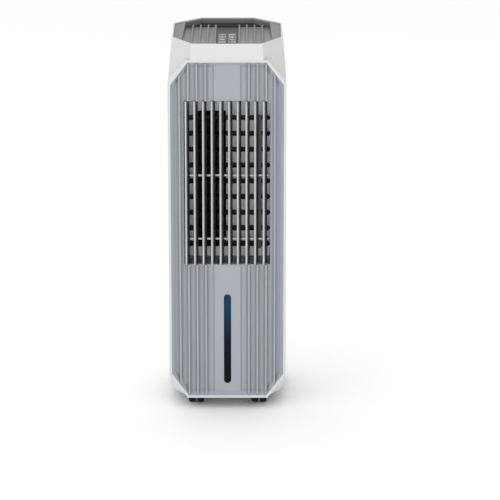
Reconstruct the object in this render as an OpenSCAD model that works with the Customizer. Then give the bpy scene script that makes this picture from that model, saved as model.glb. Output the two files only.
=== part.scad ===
// Tower evaporative cooler on twin-wheel casters.
// Frame: +Z up, front towards -Y, origin on the floor under the middle of the cabinet.

/* [Cabinet] */
// Width across the side faces
body_w = 268; // [264:1:276]
// Depth from the front plane to the back face
body_d = 300; // [296:1:310]
// Height of the top edge above the floor
body_h = 861; // [857:1:868]
// Gap between the floor and the base
ground_gap = 26; // [25:0.5:27]
// Wall of the white shell
wall = 3.5; // [3:0.1:3.8]
// Width of the white rim round the front panel
rim_w = 6; // [5.5:0.1:7]

/* [Outlet] */
// Width of the air outlet
outlet_w = 196; // [190:1:200]
// Height of the lower edge of the outlet
outlet_low = 346; // [344:1:350]
// Height of the outlet
outlet_h = 384; // [381:1:387]
// Depth from the front plane to the back wall of the outlet
outlet_depth = 79; // [76:1:80]
// Number of upright vanes
vane_count = 10; // [8:1:10]
// Swing at which the vanes are drawn, front edges towards -X
vane_rest = 14; // [0:1:16]
// Number of level louvers
louver_count = 9; // [7:1:9]
// Depth of a louver from front to back
louver_chord = 33; // [30:0.5:33]

/* [Water] */
// Width of the water tank
tank_w = 120; // [112:1:120]
// Height of the tank rim above the floor
tank_top = 282; // [270:1:282]

/* [Controls] */
// Travel of a key
key_travel = 0.8; // [0.4:0.1:1]
// Rows of keys, two in each row
key_rows = 4; // [2:1:4]

/* [Casters] */
// Diameter of a caster wheel
wheel_d = 40; // [38:0.5:40]
// Width of one wheel
wheel_w = 15; // [12:0.5:15]
// Distance from the swivel axis to the wheel axle
caster_trail = 6; // [4:0.5:7]

/* [Hidden] */
$fn = 48;
eps = 0.1;
gap = 0.3;

hw = body_w / 2;
hd = body_d / 2;
base_z = ground_gap;

// Plan octagon: front corners cut 46 by 75, rear corners 64 by 64
front_cut_x = 46;
front_cut_y = 75;
rear_cut = 64;
front_a = atan2(front_cut_x, front_cut_y);
front_dist = cos(front_a) * (hw - front_cut_x) + sin(front_a) * hd;
rear_dist = (hw + hd - rear_cut) * sqrt(0.5);
// Each facet of the plan: direction of its normal, distance from the axis
plan_facets = [[-90, hd], [-front_a, front_dist], [0, hw], [45, rear_dist],
               [90, hd], [135, rear_dist], [180, hw], [180 + front_a, front_dist]];

// Front-view octagon: corners cut 42 by 56
face_low = base_z;
face_top = body_h - 36;
face_mid = (face_low + face_top) / 2;
face_half = (face_top - face_low) / 2;
face_a = atan2(42, 56);
face_dist = cos(face_a) * hw + sin(face_a) * (face_half - 56);
face_facets = [[-90, face_half], [-face_a, face_dist], [0, hw], [face_a, face_dist],
               [90, face_half], [180 - face_a, face_dist], [180, hw], [180 + face_a, face_dist]];

// Lean of the upper cabinet: the walls draw in above lean_z
lean = 5.2;
lean_z = body_h - 94;

// Front panel: a dished plate, its floor sunk behind the rim, with ribs and a low middle band
panel_y = -hd + 0.8;
panel_floor = -hd + 7.5;
panel_back = panel_floor + 3;
ledge_t = 3;
border_w = 9.5;
rib_w = 4;
rib_y = -hd + 1;
band_y = panel_floor - 2.5;
band_half = 30;

outlet_top = outlet_low + outlet_h;
duct_wall = 3;
duct_back = -hd + outlet_depth;
flange_w = 14;
screw_x = outlet_w / 2 + 8;
screw_inset = 40;

vane_pitch = outlet_w / vane_count;
vane_y = -hd + 26;
vane_reach = 25;
vane_nose = 2;
vane_web = 2.6;
vane_arm = 8;
vane_pin_r = 2;
link_pin_r = 1.4;
link_h = 4;
link_t = 5;
link_zs = [outlet_low + 54, outlet_low + 204];

louver_y = -hd + 55;
louver_t = 4.4;
louver_pitch = 37.2;
louver_z1 = outlet_low + 36;
louver_arm = 12;
louver_pin_r = 2.5;
louver_link_x = 72.5;
louver_link_w = 11;

blower_x = 22;
blower_y = -10;
blower_r = 42;
blower_low = outlet_low + 22;
blower_high = outlet_low + 344;
scroll_r = 52;
scroll_low = blower_low - 4;
scroll_high = blower_high + 4;
shaft_r = 4;
mouth_left = -76;
mouth_right = -3;

shelf_z = tank_top + 13;
shelf_t = 3;
tank_low = 50;
tank_front = -112;
tank_wall = 2.5;
tank_slot_low = 45;
tank_slot_top = tank_top + 10;
grille_low = tank_top + 20;
grille_top = body_h - 45;
back_half = 63.5;
plug_z = 70;
riser_x = 46;
riser_y = 60;
riser_r = 5;
pad_half = 88;
pad_y = 70;
pad_t = 44;
feed_z = body_h - 69;

// The ramp in the top cover starts flush at the front and falls to the slot at the back
cover_z = body_h - 2;
cover_t = 3;
ramp_y0 = -hd + 9.5;
ramp_y1 = 108;
ramp_drop = 13.4;
ramp_a = atan2(ramp_drop, ramp_y1 - ramp_y0);
ramp_len = (ramp_y1 - ramp_y0) / cos(ramp_a);
tray_front_half = 103;
tray_back_half = 97;
tray_back = hd - 12.5;
tray_border = 6;
slot_w = 17;
deck_half = 24.5;
deck_t = 4;
key_w = 19;
key_l = 30;
key_pitch = 35;
key_x = 11.2;
key_start = 33;
board_drop = 10.4;

// Casters: a front and a rear pair
caster_x = 73;
caster_ys = [-94, 86];
caster_web = 5;
caster_gap = 0.25;
caster_pocket = 33;
pocket_top = 44;
stem_r = 4;
axle_r = 2.5;

window_w = 16.7;
window_low = 60;
window_top = 275;

gland_z = 66;
gland_bore = 3.7;
screw_r = 1.5;
screw_spots = [[hw - 11.5, -40], [hw - 11.5, 60], [-hw + 11.5, -40], [-hw + 11.5, 60]];
boss_r = 8.5;
head_r = 3;

// Point where two facets meet, both moved in by t
function meet(f, g, t) =
  let (p = f[1] - t, q = g[1] - t, s = sin(g[0] - f[0]))
  [(p * sin(g[0]) - q * sin(f[0])) / s, (q * cos(f[0]) - p * cos(g[0])) / s];
// Closed outline of a list of facets, all moved in by t
function outline(facets, t) = [for (i = [0:7]) meet(facets[i], facets[(i + 1) % 8], t)];
function ramp_z(y) = cover_z - (y - ramp_y0) * tan(ramp_a);
function vane_x(i) = (i - (vane_count + 1) / 2) * vane_pitch;
function louver_z(i) = louver_z1 + (i - 1) * louver_pitch;
function caster_at(i) = [i % 2 == 1 ? -caster_x : caster_x, caster_ys[i <= 2 ? 0 : 1], 0];
function key_at(i) = [i % 2 == 1 ? -key_x : key_x, key_start + floor((i - 1) / 2) * key_pitch, 0];

// Wedge that takes the leaning top off one facet, moved in by t
module lean_wedge(facet, t) {
  start = facet[0] == -90 ? face_top : facet[0] == 90 ? grille_top + 6 : lean_z;
  translate([0, 0, start]) rotate([0, 0, facet[0]]) translate([facet[1] - t, 0, 0])
    rotate([0, -lean, 0]) translate([0, -hd, 0]) cube([40, 2 * hd, 140]);
}

// Wedge that draws in the foot of the base on one facet
module foot_wedge(facet, t) {
  translate([0, 0, base_z + 9]) rotate([0, 0, facet[0]]) translate([facet[1] - t, 0, 0])
    rotate([0, 24, 0]) translate([0, -hd, -40]) cube([40, 2 * hd, 40]);
}

// The eight-sided cabinet, moved in by t, between two heights
module prism(t, low, high) {
  difference() {
    translate([0, 0, low]) linear_extrude(high - low) polygon(outline(plan_facets, t));
    if (high > lean_z) for (f = plan_facets) lean_wedge(f, t);
    if (low < base_z + 9) for (i = [1:7]) foot_wedge(plan_facets[i], t);
  }
}

// The front-view octagon, moved in by t, from depth y0 to y1
module face_block(t, y0, y1) {
  translate([0, y1, face_mid]) rotate([90, 0, 0])
    linear_extrude(y1 - y0) polygon(outline(face_facets, t));
}

module box(x0, x1, y0, y1, z0, z1) {
  translate([x0, y0, z0]) cube([x1 - x0, y1 - y0, z1 - z0]);
}

// Cylinder along +X or +Y from a point
module rod_x(r, x0, x1, y, z) { translate([x0, y, z]) rotate([0, 90, 0]) cylinder(r = r, h = x1 - x0); }
module rod_y(r, x, y0, y1, z) { translate([x, y1, z]) rotate([90, 0, 0]) cylinder(r = r, h = y1 - y0); }
module rod_z(r, x, y, z0, z1) { translate([x, y, z0]) cylinder(r = r, h = z1 - z0); }

// Places children on the rear right corner facet, their +X pointing outwards
module on_corner(z) { rotate([0, 0, 45]) translate([rear_dist, 0, z]) children(); }

// Tilts children on to the ramp: x across, y backwards along it, z square to it
module on_ramp() { translate([0, ramp_y0, cover_z]) rotate([-ramp_a, 0, 0]) children(); }

module slot_2d(w, low, high) {
  translate([-w / 2, low + w / 2]) square([w, high - low - w]);
  translate([0, low + w / 2]) circle(d = w);
  translate([0, high - w / 2]) circle(d = w);
}

module upright_slot(w, low, high, y0, y1) {
  translate([0, y1, 0]) rotate([90, 0, 0]) linear_extrude(y1 - y0) slot_2d(w, low, high);
}

module housing_shell() {
  color("white") difference() {
    union() {
      difference() {
        union() {
          prism(0, base_z, body_h);
          face_block(0, -hd, -hd + front_cut_y);
        }
        prism(wall, base_z - eps, body_h + eps);
        face_block(wall, -hd + wall, -hd + front_cut_y + wall);
      }
      face_block(1, panel_back, panel_back + ledge_t);
      for (s = screw_spots) rod_z(boss_r, s[0], s[1], base_z + 6, base_z + 30);
    }
    face_block(rim_w, -hd - eps, panel_back);
    face_block(rim_w + 6, -hd, panel_back + ledge_t + eps);
    box(-back_half - gap, back_half + gap, hd - 6, hd + eps, tank_slot_low, tank_slot_top);
    box(-back_half - gap, back_half + gap, hd - 6, hd + eps, grille_low, grille_top);
    on_corner(gland_z) rotate([0, 90, 0]) translate([0, 0, -8]) cylinder(r = 7, h = 10);
    for (s = screw_spots) rod_z(screw_r + 0.05, s[0], s[1], base_z, base_z + 24);
  }
}

// Base plate, caster pockets, tank bay and the shelf above it in one moulding
module base_chassis() {
  bay = tank_w / 2 + 3;
  color("gray") difference() {
    union() {
      prism(wall + gap, base_z + 3, base_z + 6);
      for (i = [1:4]) translate(caster_at(i)) {
        cylinder(r = caster_pocket + 2.5, h = pocket_top + 2.5);
        cylinder(r = 8, h = 66);
      }
      for (s = [-1, 1]) translate([s * (bay + 1.5), 0, 0])
        box(-1.5, 1.5, -120, 138, base_z + 4, shelf_z + 1);
      for (s = [-1, 1]) translate([s * 26, 0, 0])
        box(-3, 3, -116, 140, base_z + 4, tank_low - 0.1);
      box(-bay - 1.5, bay + 1.5, -120, -117, base_z + 4, shelf_z + 1);
      difference() {
        prism(wall + gap, shelf_z, shelf_z + shelf_t);
        box(-hw, hw, -hd, -118, shelf_z - eps, shelf_z + 10);
      }
    }
    translate([0, 0, -eps]) cube([2 * body_w, 2 * body_d, 2 * (base_z + 3)], center = true);
    box(-hw, hw, -hd, panel_back + ledge_t + gap, base_z, base_z + 20);
    for (i = [1:4]) translate(caster_at(i)) {
      cylinder(r = caster_pocket, h = pocket_top);
      cylinder(r = stem_r + 0.05, h = 62);
    }
    rod_z(7, 0, pad_y + pad_t / 2, shelf_z - eps, shelf_z + 10);
    rod_z(riser_r + 0.05, riser_x, riser_y, shelf_z - eps, shelf_z + 10);
    for (s = screw_spots) rod_z(screw_r + 0.2, s[0], s[1], base_z, base_z + 12);
  }
}

// Wedge that slopes one border of the dished panel from its front edge down to the floor
module border_wedge(facet) {
  slope = atan2(border_w, panel_floor - panel_y);
  translate([0, panel_y, face_mid]) rotate([0, -facet[0], 0]) translate([facet[1] - rim_w - gap, 0, 0])
    rotate([0, 0, slope]) translate([0, -10, -body_h]) cube([60, 60, 2 * body_h]);
}

module front_panel() {
  color("silver") difference() {
    union() {
      difference() {
        face_block(rim_w + gap, panel_y, panel_back);
        difference() {
          face_block(rim_w + gap, panel_y - eps, panel_floor);
          for (f = face_facets) border_wedge(f);
        }
      }
      intersection() {
        face_block(rim_w + 2, rib_y, panel_back);
        union() {
          for (side = [-1, 1], k = [2.5:5.5]) translate([side * k * vane_pitch, 0, 0])
            box(-rib_w / 2, rib_w / 2, rib_y, panel_back, face_low, face_top);
          box(-band_half, band_half, band_y, panel_back, face_low, face_top);
        }
      }
    }
    box(-outlet_w / 2, outlet_w / 2, -hd, panel_back + eps, outlet_low, outlet_top);
    upright_slot(window_w, window_low, window_top, -hd, panel_back + eps);
    for (x = [-screw_x, screw_x], z = [outlet_low + screw_inset, outlet_top - screw_inset])
      rod_y(screw_r + 0.05, x, panel_back - 2.5, panel_back + eps, z);
  }
}

module level_window() {
  color("midnightblue")
    upright_slot(window_w - gap, window_low + gap, window_top - gap, band_y + 0.6, panel_back);
}

// Rib on the ramp: flush with the front edge at first, then higher towards the back
module ramp_rib(x) {
  y0 = ramp_y0 + 2;
  knee = ramp_y0 + 70;
  translate([x - 1.6, 0, 0]) rotate([90, 0, 90]) linear_extrude(3.2)
    polygon([[y0, ramp_z(y0) - 1], [ramp_y1, ramp_z(ramp_y1) - 1], [ramp_y1, ramp_z(ramp_y1) + 6.4],
             [knee, cover_z - 0.2], [y0, cover_z - 0.1]]);
}

// Sunk part of the tray above the ramp, narrower at the back, with its rear corners cut
module tray_hollow() {
  floor_z = ramp_z(ramp_y1);
  intersection() {
    translate([-tray_front_half, 0, 0]) rotate([90, 0, 90]) linear_extrude(2 * tray_front_half)
      polygon([[ramp_y0, cover_z], [ramp_y0, cover_z + 2], [tray_back, cover_z + 2],
               [tray_back, floor_z], [ramp_y1, floor_z]]);
    linear_extrude(body_h + 10)
      polygon([[-tray_front_half, -hd], [tray_front_half, -hd], [tray_back_half, tray_back],
               [-tray_back_half, tray_back]]);
    prism(wall + gap + tray_border, floor_z - 1, body_h + 1);
  }
}

module top_cover() {
  inset = wall + gap;
  skirt = 24;
  color("gray") difference() {
    union() {
      difference() {
        prism(inset, cover_z - skirt, cover_z);
        tray_hollow();
        // hollow under the side strips
        difference() {
          prism(inset + cover_t, cover_z - skirt - eps, cover_z - cover_t);
          box(-tray_front_half - cover_t, tray_front_half + cover_t, -hd, hd, 0, body_h);
        }
        // hollow under the ramp
        intersection() {
          prism(inset + cover_t, cover_z - skirt - eps, cover_z);
          translate([-tray_front_half, 0, 0]) rotate([90, 0, 90]) linear_extrude(2 * tray_front_half)
            polygon([[-hd, cover_z - skirt - 1], [-hd, cover_z - cover_t], [ramp_y0, cover_z - cover_t],
                     [ramp_y1, ramp_z(ramp_y1) - cover_t], [tray_back, ramp_z(ramp_y1) - cover_t],
                     [tray_back, cover_z - skirt - 1]]);
        }
      }
      for (side = [-1, 1], x = [27.4, 44.5, 62.2, 80]) ramp_rib(side * x);
      on_ramp() translate([-deck_half - 2, 2, -deck_t - cover_t])
        cube([2 * deck_half + 4, ramp_len - 2, deck_t + cover_t - 1]);
    }
    // finger slot behind the ramp
    intersection() {
      box(-tray_back_half, tray_back_half, ramp_y1 + 2, ramp_y1 + 2 + slot_w,
          cover_z - skirt - eps, body_h);
      prism(inset + tray_border + 4, cover_z - skirt - 1, body_h);
    }
    on_ramp() {
      translate([-deck_half - 0.1, 4, -deck_t]) cube([2 * deck_half + 0.2, ramp_len, deck_t + 10]);
      for (i = [1:2 * key_rows]) translate(key_at(i)) rod_z(2.7, 0, 0, -deck_t - cover_t - eps, 0);
    }
  }
}

module control_deck() {
  color("dimgray") on_ramp() difference() {
    translate([-deck_half, 4.1, -deck_t]) cube([2 * deck_half, ramp_len - 4.4, deck_t]);
    for (i = [1:2 * key_rows]) translate(key_at(i))
      translate([-key_w / 2 - gap, -key_l / 2 - gap, -deck_t - eps])
        cube([key_w + 2 * gap, key_l + 2 * gap, deck_t + 1]);
  }
}

module key(i) {
  color("darkgray") on_ramp() translate(key_at(i)) {
    translate([-key_w / 2, -key_l / 2, -2.4]) cube([key_w, key_l, 2.5]);
    rod_z(2.5, 0, 0, -board_drop + key_travel + 0.2, -2);
  }
}

module control_board() {
  color("darkgreen") on_ramp() {
    translate([-40, 4, -board_drop - 1.6]) cube([80, ramp_len - 40, 1.6]);
    translate([-30, ramp_len - 90, -board_drop - 9]) cube([24, 18, 7.5]);
    translate([4, ramp_len - 84, -board_drop - 7]) cube([12, 12, 5.5]);
    translate([22, 30, -board_drop - 13]) cube([15, 40, 11.5]);
  }
}

module outlet_duct() {
  x1 = outlet_w / 2;
  color("lightgray") difference() {
    union() {
      box(-x1 - duct_wall, x1 + duct_wall, panel_back, duct_back + duct_wall,
          outlet_low - duct_wall, outlet_top + duct_wall);
      box(-x1 - flange_w, x1 + flange_w, panel_back, panel_back + 3,
          outlet_low - flange_w, outlet_top + flange_w);
    }
    box(-x1, x1, panel_back - eps, duct_back, outlet_low, outlet_top);
    box(mouth_left, mouth_right, duct_back - eps, duct_back + 10, blower_low, blower_high);
    for (i = [1:vane_count])
      rod_z(vane_pin_r + 0.05, vane_x(i), vane_y, outlet_low - 10, outlet_top + 10);
    for (i = [1:louver_count])
      rod_x(louver_pin_r + 0.05, -x1 - 10, x1 + 10, louver_y, louver_z(i));
    for (x = [-screw_x, screw_x], z = [outlet_low + screw_inset, outlet_top - screw_inset])
      rod_y(screw_r + 0.2, x, panel_back - eps, panel_back + 10, z);
  }
}

// Upright vane with its pivot on the Z axis, drawn straight, nose towards -Y
module vane_straight(top_pin) {
  low = outlet_low + 1;
  high = outlet_top - 1;
  nose_y = -vane_reach + vane_nose;
  rod_z(vane_nose, 0, nose_y, low, high);
  box(-vane_web / 2, vane_web / 2, nose_y, 0, low, high);
  rod_z(2.4, 0, 0, low, high);
  rod_z(vane_pin_r, 0, 0, outlet_low - duct_wall, low + 1);
  rod_z(vane_pin_r, 0, 0, high - 1, top_pin);
  for (z = link_zs) {
    for (s = [-1, 1]) translate([0, 0, z + s * (link_h / 2 + 0.4 + 1.5)]) {
      box(-2, 2, 0, vane_arm, -1.5, 1.5);
      rod_z(2, 0, vane_arm, -1.5, 1.5);
    }
    rod_z(link_pin_r, 0, vane_arm, z - link_h, z + link_h);
  }
}

module vane(i) {
  color("gainsboro") translate([vane_x(i), vane_y, 0]) rotate([0, 0, -vane_rest])
    vane_straight(i == 1 ? outlet_top + 8 : outlet_top + duct_wall);
}

// Two bars joined behind the vanes by the link pins
module vane_links() {
  shift = [vane_arm * sin(vane_rest), vane_y + vane_arm * cos(vane_rest), 0];
  color("gray") translate(shift) for (z = link_zs) difference() {
    box(vane_x(1) - 4, vane_x(vane_count) + 4, -link_t / 2, link_t / 2, z - link_h / 2, z + link_h / 2);
    for (i = [1:vane_count]) rod_z(link_pin_r + 0.1, vane_x(i), 0, z - link_h, z + link_h);
  }
}

module louver(i) {
  half = outlet_w / 2 - 4;
  z = louver_z(i);
  edge = louver_chord / 2 - louver_t / 2;
  color("black") difference() {
    union() {
      box(-half, half, louver_y - edge, louver_y + edge, z - louver_t / 2, z + louver_t / 2);
      for (s = [-1, 1]) rod_x(louver_t / 2, -half, half, louver_y + s * edge, z);
      rod_x(4.5, -half - 2.5, -half + 4, louver_y, z);
      rod_x(4.5, half - 4, half + 2.5, louver_y, z);
      rod_x(louver_pin_r, -outlet_w / 2 - duct_wall, -half, louver_y, z);
      rod_x(louver_pin_r, half, outlet_w / 2 + duct_wall, louver_y, z);
    }
    difference() {
      box(louver_link_x - louver_link_w / 2 - 0.6, louver_link_x + louver_link_w / 2 + 0.6,
          louver_y - louver_chord, louver_y - 6, z - 5, z + 5);
      rod_x(link_pin_r, louver_link_x - 10, louver_link_x + 10, louver_y - louver_arm, z);
    }
  }
}

module louver_link() {
  color("dimgray") difference() {
    box(louver_link_x - louver_link_w / 2, louver_link_x + louver_link_w / 2,
        louver_y - louver_arm - 2.5, louver_y - louver_arm + 2.5,
        louver_z(1) - 8, louver_z(louver_count) + 8);
    for (i = [1:louver_count])
      rod_x(link_pin_r + 0.1, louver_link_x - 10, louver_link_x + 10, louver_y - louver_arm, louver_z(i));
  }
}

module swing_motor() {
  color("silver") difference() {
    union() {
      rod_z(11.5, vane_x(1), vane_y, outlet_top + duct_wall + 0.2, outlet_top + 22);
      box(vane_x(1) - 20, vane_x(1) + 20, vane_y - 4, vane_y + 4,
          outlet_top + duct_wall + 0.2, outlet_top + 6);
    }
    rod_z(vane_pin_r + 0.05, vane_x(1), vane_y, outlet_top, outlet_top + 9);
  }
}

module blower_wheel() {
  color("black") translate([blower_x, blower_y, 0]) {
    for (k = [0:4]) {
      z = blower_low + 2 + k * (blower_high - blower_low - 7) / 4;
      difference() {
        rod_z(blower_r, 0, 0, z, z + 3);
        if (k > 0 && k < 4) rod_z(blower_r - 12, 0, 0, z - 1, z + 4);
      }
    }
    for (a = [0:15:345]) rotate([0, 0, a]) translate([blower_r - 10, 0, blower_low + 3])
      rotate([0, 0, 35]) cube([9, 1.2, blower_high - blower_low - 8]);
    rod_z(shaft_r, 0, 0, shelf_z + 12, blower_low + 3);
    rod_z(shaft_r, 0, 0, blower_high - 4, scroll_high + 3);
  }
}

// Outline of the scroll, grown by t
module scroll_2d(t) {
  translate([blower_x, blower_y]) circle(r = scroll_r + t, $fn = 96);
  translate([mouth_left - t, duct_back + duct_wall])
    square([mouth_right - mouth_left + 2 * t, blower_y - duct_back - duct_wall + t]);
}

module blower_housing() {
  color("darkgray") difference() {
    translate([0, 0, scroll_low - 3]) linear_extrude(scroll_high - scroll_low + 6) difference() {
      scroll_2d(3);
      translate([-hw, -hd]) square([body_w, hd + duct_back + duct_wall]);
    }
    translate([0, 0, scroll_low]) linear_extrude(scroll_high - scroll_low) scroll_2d(0);
    box(mouth_left, mouth_right, duct_back, duct_back + 12, scroll_low, scroll_high);
    box(blower_x - 48, blower_x + 48, 12, 100, scroll_low, scroll_high);
    rod_z(shaft_r + 0.05, blower_x, blower_y, scroll_low - 10, scroll_high + 10);
  }
}

module blower_motor() {
  color("silver") difference() {
    union() {
      rod_z(28, blower_x, blower_y, shelf_z + shelf_t, scroll_low - 8);
      rod_z(12, blower_x, blower_y, scroll_low - 9, scroll_low - 3);
      for (a = [45:90:315]) translate([blower_x, blower_y, shelf_z + shelf_t]) rotate([0, 0, a])
        translate([0, -5, 0]) cube([36, 10, 3]);
    }
    rod_z(shaft_r + 0.05, blower_x, blower_y, shelf_z + 11, scroll_low);
  }
}

module rear_grille() {
  rows = 40;
  pitch = (grille_top - grille_low - 40) / rows;
  color("white") difference() {
    union() {
      box(-back_half, back_half, hd - 3.5, hd, grille_low + gap, grille_top - gap);
      for (s = [-1, 1]) translate([s * (back_half - 3.5), 0, 0])
        box(-1.5, 1.5, hd - 12, hd - 2, grille_low + 2, grille_top - 2);
    }
    for (k = [0:rows - 1], side = [-1, 1]) translate([side * 28, 0, grille_low + 20 + (k + 0.5) * pitch])
      box(-25, 25, hd - 4, hd + 1, -3.6, 3.6);
    // finger notch at the upper edge
    box(-22, 22, hd - 4, hd + 1, grille_top - 12, grille_top - 5);
  }
}

module dust_filter() {
  color("dimgray") difference() {
    box(-56, 56, hd - 8, hd - 4, grille_low + 8, grille_top - 8);
    for (k = [0:5], s = [-1, 1]) translate([s * 27, 0, grille_low + 14 + k * 79.5])
      box(-24, 24, hd - 8.1, hd - 6.4, 0, 72);
  }
}

// Pleated pad: upright V grooves on both faces
module cooling_pad() {
  color("tan") difference() {
    box(-pad_half, pad_half, pad_y, pad_y + pad_t, shelf_z + shelf_t, feed_z);
    for (k = [-10:10], y = [pad_y, pad_y + pad_t]) translate([k * 8, y, shelf_z + 8])
      rotate([0, 0, 45]) translate([-2, -2, 0]) cube([4, 4, feed_z - shelf_z - 16]);
  }
}

module water_distributor() {
  color("gray") difference() {
    union() {
      box(-pad_half, pad_half, pad_y - 4, pad_y + pad_t + 4, feed_z, feed_z + 16);
      rod_z(9, riser_x, riser_y, feed_z, feed_z + 16);
    }
    box(-pad_half + 2.5, pad_half - 2.5, pad_y - 1.5, pad_y + pad_t + 1.5, feed_z + 2.5, feed_z + 13.5);
    rod_z(riser_r + 0.05, riser_x, riser_y, feed_z - 1, feed_z + 8);
    rod_z(3, riser_x, riser_y, feed_z, feed_z + 12);
    box(riser_x - 3, riser_x + 3, riser_y, pad_y, feed_z + 5, feed_z + 11);
    for (k = [-6:6]) rod_z(1.6, k * 13, pad_y + pad_t / 2, feed_z - 1, feed_z + 5);
  }
}

module riser_pipe() {
  color("lightgray") difference() {
    union() {
      rod_z(riser_r, riser_x, riser_y, shelf_z - 8, feed_z + 8);
      rod_z(9, riser_x, riser_y, shelf_z - 10, shelf_z - 4);
    }
    rod_z(3.5, riser_x, riser_y, shelf_z - 12, feed_z + 10);
  }
}

module water_tank() {
  x1 = tank_w / 2;
  inner = x1 - tank_wall;
  color("lightblue") difference() {
    union() {
      difference() {
        box(-x1, x1, tank_front, hd, tank_low, tank_top);
        box(-inner, inner, tank_front + tank_wall, hd - 3, tank_low + tank_wall, tank_top + 1);
      }
      box(-back_half, back_half, hd - 3.5, hd, tank_slot_low + gap, tank_slot_top - gap);
      box(-38, 38, hd - 26, hd, 222, 262);
      rod_y(14, 0, hd - 16, hd, plug_z);
      rod_z(2, 0, tank_front + 14, tank_low, tank_top - 4);
      box(-2, 2, tank_front + 1, tank_front + 14, tank_top - 7, tank_top - 4);
    }
    box(-35, 35, hd - 23, hd + 1, 225, 259);
    rod_y(12, 0, hd - 5, hd + 1, plug_z);
    rod_y(6.05, 0, hd - 20, hd, plug_z);
  }
}

module drain_plug() {
  color("dimgray") difference() {
    union() {
      rod_y(6, 0, hd - 18, hd - 4, plug_z);
      rod_y(11, 0, hd - 5, hd - 1, plug_z);
    }
    for (s = [-1, 1]) box(s * 5 - 3.5, s * 5 + 3.5, hd - 3, hd, plug_z - 5, plug_z + 5);
  }
}

module pump() {
  color("dimgray") difference() {
    union() {
      box(riser_x - 30, riser_x + 9, riser_y - 22, riser_y + 22, tank_low + tank_wall, tank_low + 38);
      rod_z(5, riser_x, riser_y, tank_low + 30, shelf_z - 11);
    }
    rod_z(3.5, riser_x, riser_y, tank_low + 20, shelf_z);
    for (k = [-2:2]) box(riser_x - 31, riser_x - 27, riser_y + k * 8 - 2, riser_y + k * 8 + 2,
                         tank_low + 8, tank_low + 30);
  }
}

module float() {
  color("red") difference() {
    rod_z(8.5, 0, tank_front + 14, tank_low + tank_wall + 0.1, tank_low + 24);
    rod_z(2.15, 0, tank_front + 14, tank_low, tank_low + 30);
  }
}

module cord_gland() {
  color("black") on_corner(gland_z) rotate([0, 90, 0]) difference() {
    union() {
      translate([0, 0, -12]) cylinder(r = 6.9, h = 13);
      translate([0, 0, 0.1]) cylinder(r = 9.5, h = 3);
      translate([0, 0, 3]) cylinder(r = 6.5, h = 4);
      translate([0, 0, -wall - 5]) cylinder(r = 9.5, h = 4.9);
    }
    translate([0, 0, -13]) cylinder(r = gland_bore, h = 21);
  }
}

module cabinet_screws() {
  color("silver") {
    for (s = screw_spots) {
      rod_z(screw_r, s[0], s[1], base_z + 2, base_z + 22);
      rod_z(head_r, s[0], s[1], base_z + 0.5, base_z + 2.9);
    }
    for (x = [-screw_x, screw_x], z = [outlet_low + screw_inset, outlet_top - screw_inset]) {
      rod_y(screw_r, x, panel_back - 2.3, panel_back + 4, z);
      rod_y(head_r, x, panel_back + 3.1, panel_back + 5.5, z);
    }
  }
}

module caster_fork(i) {
  color("black") translate(caster_at(i)) difference() {
    union() {
      translate([0, -caster_trail, 0]) {
        rod_x(11, -caster_web / 2, caster_web / 2, 0, wheel_d / 2);
        box(-caster_web / 2, caster_web / 2, -8, 12, wheel_d / 2, pocket_top - 2);
      }
      rod_z(12, 0, 0, wheel_d + 0.8, pocket_top - 0.1);
      rod_z(stem_r, 0, 0, pocket_top - 1, 60);
    }
    rod_x(axle_r + 0.05, -5, 5, -caster_trail, wheel_d / 2);
  }
}

// Wheel section: a rectangle with rounded tread corners, spun about X
module wheel_2d() {
  r = wheel_d / 2;
  c = 4;
  square([r - c, wheel_w]);
  translate([0, c]) square([r, wheel_w - 2 * c]);
  for (y = [c, wheel_w - c]) translate([r - c, y]) circle(r = c);
}

module caster_wheels(i) {
  inner = caster_web / 2 + caster_gap;
  color("black") translate(caster_at(i)) translate([0, -caster_trail, wheel_d / 2]) {
    for (s = [0, 1]) mirror([s, 0, 0]) translate([inner, 0, 0]) rotate([0, 90, 0]) difference() {
      rotate_extrude() wheel_2d();
      translate([0, 0, wheel_w - 2.5]) difference() {
        cylinder(r = wheel_d / 2 - 6, h = 3);
        cylinder(r = 5, h = 3);
      }
    }
    rod_x(axle_r, -inner - 1, inner + 1, 0, 0);
  }
}

housing_shell();
base_chassis();
front_panel();
level_window();
top_cover();
control_deck();
control_board();
outlet_duct();
vane_links();
louver_link();
swing_motor();
blower_wheel();
blower_housing();
blower_motor();
rear_grille();
dust_filter();
cooling_pad();
water_distributor();
riser_pipe();
water_tank();
drain_plug();
pump();
float();
cord_gland();
cabinet_screws();
for (i = [1:2 * key_rows]) key(i);
for (i = [1:vane_count]) vane(i);
for (i = [1:louver_count]) louver(i);
for (i = [1:4]) caster_fork(i);
for (i = [1:4]) caster_wheels(i);
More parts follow.
